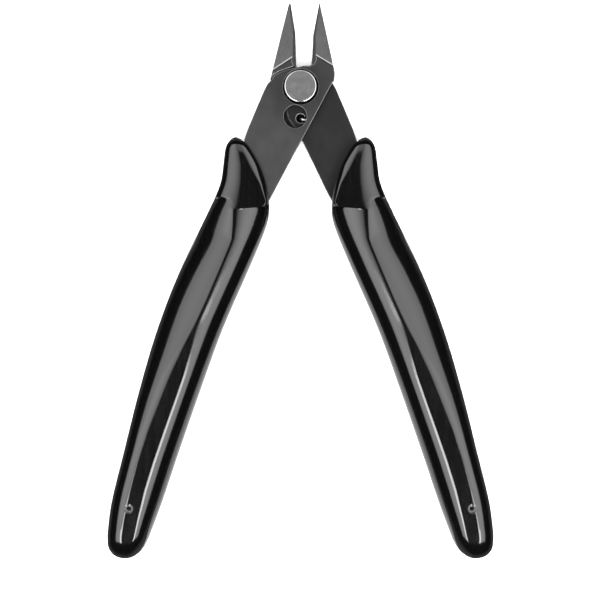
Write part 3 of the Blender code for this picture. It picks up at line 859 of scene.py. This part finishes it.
def grip_stations():
    """Y of each slice: close together at the two ends and at the thumb stop's step."""
    mouth_turn = np.linspace(0.0, math.pi / 2, 9)
    end_turn = np.linspace(0.0, math.pi / 2, 14)
    mouth = MOUTH_Y - (MOUTH_Y - MOUTH_ROUND_Y) * (1 - np.cos(mouth_turn))
    collar = np.linspace(-13.6, -23.6, 18)
    step = np.linspace(-23.9, -28.3, 26)
    shaft = np.linspace(-29.0, -96.0, 46)
    end = END_ROUND_Y + (GRIP_END_Y - END_ROUND_Y) * np.sin(end_turn)
    return np.concatenate((mouth, collar, step, shaft, end))


def grip(name, node, side, pocket_z, vinyl, body):
    """One sleeve, with a pocket for the tang between two heights and an eye at its end."""
    bm = bmesh.new()
    rings = [[bm.verts.new((-side * x, py, z)) for x, py, z in grip_ring(float(y))]
             for y in grip_stations()]
    for low, high in zip(rings[:-1], rings[1:]):
        for i in range(len(low)):
            j = (i + 1) % len(low)
            bm.faces.new((low[i], low[j], high[j], high[i]))
    bm.faces.new(rings[0])
    bm.faces.new(rings[-1])
    bmesh.ops.remove_doubles(bm, verts=bm.verts[:], dist=RING_WELD)
    sleeve = from_bmesh(name, bm, (vinyl,))

    shell = smooth([(-11.6, -8.5), (-12.4, -11.0), (-13.8, -16.5), (-16.3, -25.0),
                    (-21.75, -37.0), (-28.55, -53.5), (-35.9, -80.0), (-37.1, -85.0),
                    (-37.0, -87.3)], 4)
    back = [(-32.0, -87.4), (-31.4, -85.6), (-28.8, -80.0), (-19.6, -53.5), (-12.3, -37.0),
            (-9.0, -30.0), (-6.8, -26.3), (-5.0, -26.3), (-5.0, -8.5)]
    pocket = [(-side * x, y) for x, y in shell + back]
    cut(sleeve, plate("pocket", pocket, pocket_z[0], pocket_z[1]))
    mouth_r = 1.05
    flare = [(0.0, EYE_TOP_Z + 1.5), (mouth_r + 0.03, EYE_TOP_Z + 1.5),
             (mouth_r, EYE_TOP_Z - 0.09), (EYE_R, EYE_TOP_Z - 0.23),
             (EYE_R - 0.02, EYE_TOP_Z - 0.5), (EYE_R - 0.02, -OVER), (0.0, -OVER)]
    cut(sleeve, turned_body("eye", flare, (side * EYE[0], EYE[1]), 40))
    return finished(name, sleeve, body, node, 32.0, False)


# -------------------------------------------------------------------- build
# both blackened steels darken towards the pivot as painted shade (their third number)
steel_front = blackened_steel("blackened_steel_front", 0.0325, 0.40, 0.64)
# the rear copy of the same blackened steel, darker as painted shade; its faces well above the
# lap get back about the front's tone
rear_steel_shaded = blackened_steel("blackened_steel_rear_shaded", 0.0145, 0.40, 0.80, shade_lift_above_lap=2.2)
ground_left = ground_steel("ground_steel_left", 0.108, 0.38, 0.25)
ground_right = ground_steel("ground_steel_right", 0.108, 0.38, -0.25)
# worn edges: wear, with the colour lightened further as a painted highlight
edge_wear_highlight = blackened_steel("edge_wear_highlight_steel", 0.11, 0.32)
# foot strip of the ground face: lighter than the face itself, a painted highlight
foot_highlight_steel = ground_steel("ground_foot_highlight_steel", 0.26, 0.30, 0.0)
# near-black steel for the step walls and the walls of the recess and hook hole: painted shade
step_shade_steel = blackened_steel("painted_shade_steel", 0.004, 0.45)
turned_bright = turned_steel("turned_steel", 0.35, 0.187)
wire_bright = drawn_wire("drawn_wire", 0.42, 0.28)
vinyl_left = glossy_vinyl("glossy_vinyl_left", 0.0019, 0.10)
vinyl_right = glossy_vinyl("glossy_vinyl_right", 0.0020, 0.10)

front_half(steel_front, ground_right, edge_wear_highlight, foot_highlight_steel, step_shade_steel)
rear_half(rear_steel_shaded, ground_left, edge_wear_highlight, foot_highlight_steel, step_shade_steel)
rivet(turned_bright)
spring(wire_bright)
grip("left_sleeve", "left_grip", -1, (LAP_Z - LAP_ROOM, FRONT_Z + TANG_ROOM), vinyl_left,
     LEFT)
grip("right_sleeve", "right_grip", 1, (BACK_Z - TANG_ROOM, LAP_Z + LAP_ROOM), vinyl_right,
     RIGHT)


# -------------------------------------------------------- floor, light, camera
def level_sheet(name, x, y0, y1, z, look):
    """Rectangle facing up, from -x to x, marked as part of the stage."""
    mesh = bpy.data.meshes.new(name)
    mesh.from_pydata([(-x, y0, z), (x, y0, z), (x, y1, z), (-x, y1, z)], [], [(0, 1, 2, 3)])
    mesh.materials.append(look.mat)
    obj = bpy.data.objects.new(name, mesh)
    bpy.context.scene.collection.objects.link(obj)
    return obj


def floor():
    """Pale floor, which shows in no reflection."""
    look = Look("floor_board", 0.94, 0.9)
    look.set_colour(look.spread(look.noise(40.0, 2.0), 0.995, 1.005))
    look.set_roughness(look.spread(look.noise(60.0, 2.0), 0.98, 1.02))
    look.shader.inputs["Specular IOR Level"].default_value = 0.2
    obj = level_sheet("floor", x=3.0, y0=-3.0, y1=3.0, z=0.0, look=look)
    obj.visible_glossy = False
    return obj


def card():
    """Faintly glowing card between the handles, seen only in the sleeves' inner sides."""
    look = Look("card_board", 0.8, 0.9)
    look.set_colour(look.spread(look.noise(40.0, 2.0), 0.99, 1.01))
    look.shader.inputs["Emission Color"].default_value = (1.0, 1.0, 1.0, 1.0)
    look.shader.inputs["Emission Strength"].default_value = 0.10
    obj = level_sheet("card", x=0.032, y0=-0.0605, y1=0.012, z=0.0003, look=look)
    obj.visible_camera = False
    obj.visible_diffuse = False
    obj.visible_shadow = False


def soft_box(name, x0, x1, y0, y1, height, profile):
    """Level rectangular lamp over the floor.

    profile holds its surface radiance at even steps from x0 to x1.
    """
    lamp = bpy.data.lights.new(name, 'AREA')
    lamp.shape = 'RECTANGLE'
    lamp.size = abs(x1 - x0)
    lamp.size_y = abs(y1 - y0)
    top = max(profile)
    lamp.energy = top * math.pi * lamp.size * lamp.size_y
    if len(profile) > 1:
        lamp.use_nodes = True
        tree = lamp.node_tree
        emit = tree.nodes["Emission"]
        place = tree.nodes.new("ShaderNodeNewGeometry")
        split = tree.nodes.new("ShaderNodeSeparateXYZ")
        ramp = tree.nodes.new("ShaderNodeValToRGB")
        tree.links.new(place.outputs["Parametric"], split.inputs[0])
        tree.links.new(split.outputs["X"], ramp.inputs["Fac"])
        tree.links.new(ramp.outputs["Color"], emit.inputs["Color"])
        stops = ramp.color_ramp.elements
        ramp.color_ramp.interpolation = 'B_SPLINE'
        for i in range(1, len(profile) - 1):
            stops.new(i / (len(profile) - 1))
        for stop, value in zip(stops, profile):
            stop.color = (value / top, value / top, value / top, 1.0)
    obj = bpy.data.objects.new(name, lamp)
    obj.location = ((x0 + x1) / 2.0, (y0 + y1) / 2.0, height)
    obj.visible_camera = False
    bpy.context.scene.collection.objects.link(obj)
    return obj


BOX_H, BOX_OUT, BOX_END = 0.6, 0.60, 0.50   # height of the boxes, outer edge, far ends
BOX_PROFILE = [1.2, 3.6, 4.6, 5.1, 5.2, 5.0, 4.6, 4.2, 4.0]
# each box is three lengths: name, inner edge, lower and upper Y, radiance factor
BOX_LENGTHS = [("high", 0.05, 0.05, BOX_END, 0.8), ("middle", 0.05, -0.055, 0.05, 1.0),
               ("low", 0.09, -BOX_END, -0.055, 1.0)]
# bright strips just under the boxes: inner and outer edge, upper Y
STRIPS = [(0.09, 0.13, -0.078), (0.13, 0.17, -0.10), (0.17, 0.22, -0.125)]
STRIP_RADIANCE, TOP_RADIANCE, FILL_RADIANCE = 14.0, 2.2, 3.6


def lights():
    """Boxes left and right of the camera and beyond the jaws, and the floor's own lamp."""
    for side, label in ((-1, "left"), (1, "right")):
        for length, inner, y0, y1, factor in BOX_LENGTHS:
            x0, x1 = sorted((side * inner, side * BOX_OUT))
            profile = [factor * value for value in BOX_PROFILE[::side]]
            soft_box("box_" + length + "_" + label, x0, x1, y0, y1, BOX_H, profile)
        for near, far, top in STRIPS:
            x0, x1 = sorted((side * near, side * far))
            soft_box("strip_" + label, x0, x1, -BOX_END, top, BOX_H - 0.01, [STRIP_RADIANCE])
    soft_box("box_top", -0.05, 0.05, 0.14, BOX_END, BOX_H, [TOP_RADIANCE])
    fill = soft_box("floor_fill", -0.8, 0.8, -0.8, 0.8, 0.75, [FILL_RADIANCE])
    lit_by_fill = bpy.data.collections.new("lit_by_fill")
    lit_by_fill.objects.link(floor())
    fill.light_linking.receiver_collection = lit_by_fill


def studio():
    """Dim room: nearly dark above, grey below the horizon."""
    above, below = 0.006, 0.40
    world = bpy.data.worlds.new("studio")
    world.use_nodes = True
    tree = world.node_tree
    place = tree.nodes.new("ShaderNodeTexCoord")
    split = tree.nodes.new("ShaderNodeSeparateXYZ")
    span = tree.nodes.new("ShaderNodeMapRange")
    tree.links.new(place.outputs["Generated"], split.inputs[0])
    tree.links.new(split.outputs["Z"], span.inputs["Value"])
    for key, value in (("From Min", 0.1), ("From Max", -0.15), ("To Min", above),
                       ("To Max", below)):
        span.inputs[key].default_value = value
    background = tree.nodes["Background"]
    background.inputs["Color"].default_value = (1.0, 1.0, 1.0, 1.0)
    tree.links.new(span.outputs["Result"], background.inputs["Strength"])
    bpy.context.scene.world = world


CAMERA_H, AIM_Z = 2.4, 0.006    # heights of the camera and of the level it frames
FRAME_W = 0.1316                # width of the view at that level
SENSOR = 36.0                   # millimetres


def look_down():
    """Camera straight above the tool, as the photograph faces it."""
    camera = bpy.data.cameras.new("camera")
    camera.sensor_width = SENSOR
    camera.lens = SENSOR * (CAMERA_H - AIM_Z) / FRAME_W
    camera.clip_end = 20.0
    eye = bpy.data.objects.new("camera", camera)
    eye.location = (-0.0001, -0.00428, CAMERA_H)
    bpy.context.scene.collection.objects.link(eye)
    bpy.context.scene.camera = eye
    bpy.context.scene.view_settings.view_transform = 'Standard'


lights()
card()
studio()
look_down()
